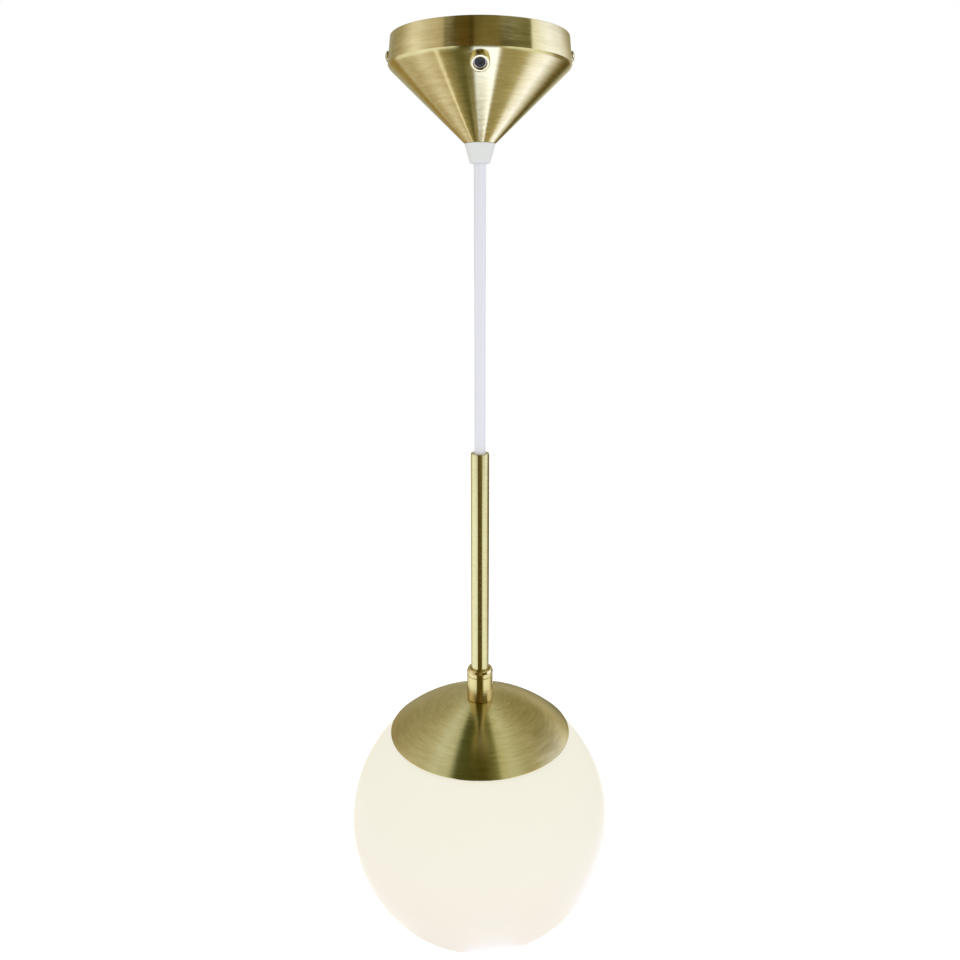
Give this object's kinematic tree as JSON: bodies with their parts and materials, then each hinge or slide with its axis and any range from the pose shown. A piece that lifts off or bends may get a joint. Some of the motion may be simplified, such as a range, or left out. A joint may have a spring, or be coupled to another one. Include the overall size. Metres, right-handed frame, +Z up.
{
  "type": "pendant ceiling light",
  "caption": "Ceiling pendant light: cone canopy in satin brass, white cord, slim brass tube with collar, domed cap and opal glass globe that unscrews, with a push-in lamp.",
  "frame": {"origin": "middle of the ceiling bracket's top face, on the ceiling", "axes": "+Z up to the ceiling; the light hangs along -Z; the bracket's slots lie along X; the canopy's lock boss faces -Y"},
  "size_m": [0.18, 0.18, 0.5956],
  "materials": {
    "satin_brass": "spun and brushed round its axis, satin, lacquered",
    "polished_brass": "turned and polished, lacquered",
    "plain_brass": "turned, unlacquered",
    "zinc_steel": "zinc plated",
    "screw_steel": "brass plated pan heads",
    "tinned_copper": "tinned copper",
    "white_nylon": "moulded, matt, slightly warm grey-white",
    "white_cord": "smooth PVC sheath, soft sheen",
    "brown_pvc": "thin PVC insulation",
    "blue_pvc": "thin PVC insulation",
    "green_yellow_pvc": "thin PVC insulation, green with yellow bands",
    "fibre": "pressed fibre",
    "carrier_steel": "white powder coat",
    "aluminium": "turned, threaded",
    "steatite": "fired steatite, unglazed",
    "phosphor_bronze": "rolled spring strip",
    "silicone": "translucent white silicone",
    "opal_glass": "blown opal glass, gloss outside, lit from inside",
    "frosted_cover": "frosted diffusing cover",
    "lamp_wire": "nickel wire",
    "chip_board": "white board with yellow light-emitting chips"
  },
  "bodies": {
    "ceiling": {"ceiling_bracket": "zinc_steel", "side_screws": "screw_steel", "earth_screw": "zinc_steel", "earth_washer": "zinc_steel", "earth_lug": "tinned_copper", "terminal_block": "white_nylon", "terminal_sleeves": "plain_brass", "terminal_screws": "zinc_steel", "block_screws": "zinc_steel", "live_core": "brown_pvc", "neutral_core": "blue_pvc", "earth_core": "green_yellow_pvc", "cord_tail": "white_cord", "canopy": "satin_brass", "lock_boss": "polished_brass", "lock_boss_nut": "zinc_steel", "lock_screw": "zinc_steel", "gland": "white_nylon", "gland_collet": "white_nylon", "gland_locknut": "white_nylon"},
    "cord_twist": {"cord_neck": "white_cord"},
    "pendant": {"pendant_cord": "white_cord", "tube": "polished_brass", "tube_bush": "white_nylon", "lock_ring": "polished_brass", "collar": "polished_brass", "nipple": "zinc_steel", "cap_dome": "satin_brass", "cap_washer": "fibre", "globe_carrier": "carrier_steel", "holder_bracket": "zinc_steel", "nipple_washer": "zinc_steel", "nipple_nut": "zinc_steel", "cord_grip": "white_nylon", "cord_grip_screw": "white_nylon", "lamp_live_lead": "brown_pvc", "lamp_neutral_lead": "blue_pvc", "lamp_earth_lead": "green_yellow_pvc", "lamp_earth_lug": "tinned_copper", "lamp_earth_screw": "zinc_steel", "lampholder": "steatite", "holder_contacts": "phosphor_bronze", "holder_screws": "zinc_steel"},
    "seal": {"globe_seal": "silicone"},
    "globe": {"globe_glass": "opal_glass", "glass_ring": "aluminium", "glass_clip": "zinc_steel"},
    "lamp": {"lamp_capsule": "frosted_cover", "lamp_base": "steatite", "lamp_pins": "lamp_wire", "lamp_board": "chip_board"}
  },
  "joints": [
    {"name": "pendant_twist", "type": "hinge", "parent": "ceiling", "child": "cord_twist", "pos_m": [0, 0, -0.0675], "axis": [0, 0, 1], "range_deg": [-180, 180]},
    {"name": "pendant_swing", "type": "hinge", "parent": "cord_twist", "child": "pendant", "pos_m": [0, 0, -0.073], "axis": [1, 0, 0], "range_deg": [-40, 40]},
    {"name": "globe_drop", "type": "slide", "parent": "pendant", "child": "seal", "axis": [0, 0, -1], "range_m": [0, 0.01]},
    {"name": "globe_turn", "type": "hinge", "parent": "seal", "child": "globe", "pos_m": [0, 0, -0.50556], "axis": [0, 0, -1], "range_deg": [0, 900]},
    {"name": "lamp_pull", "type": "slide", "parent": "pendant", "child": "lamp", "axis": [0, 0, -1], "range_m": [0, 0.013]}
  ],
  "couplings": [
    {"joint": "globe_drop", "follows": "globe_turn", "m_per_rad": 0.00063662}
  ]
}
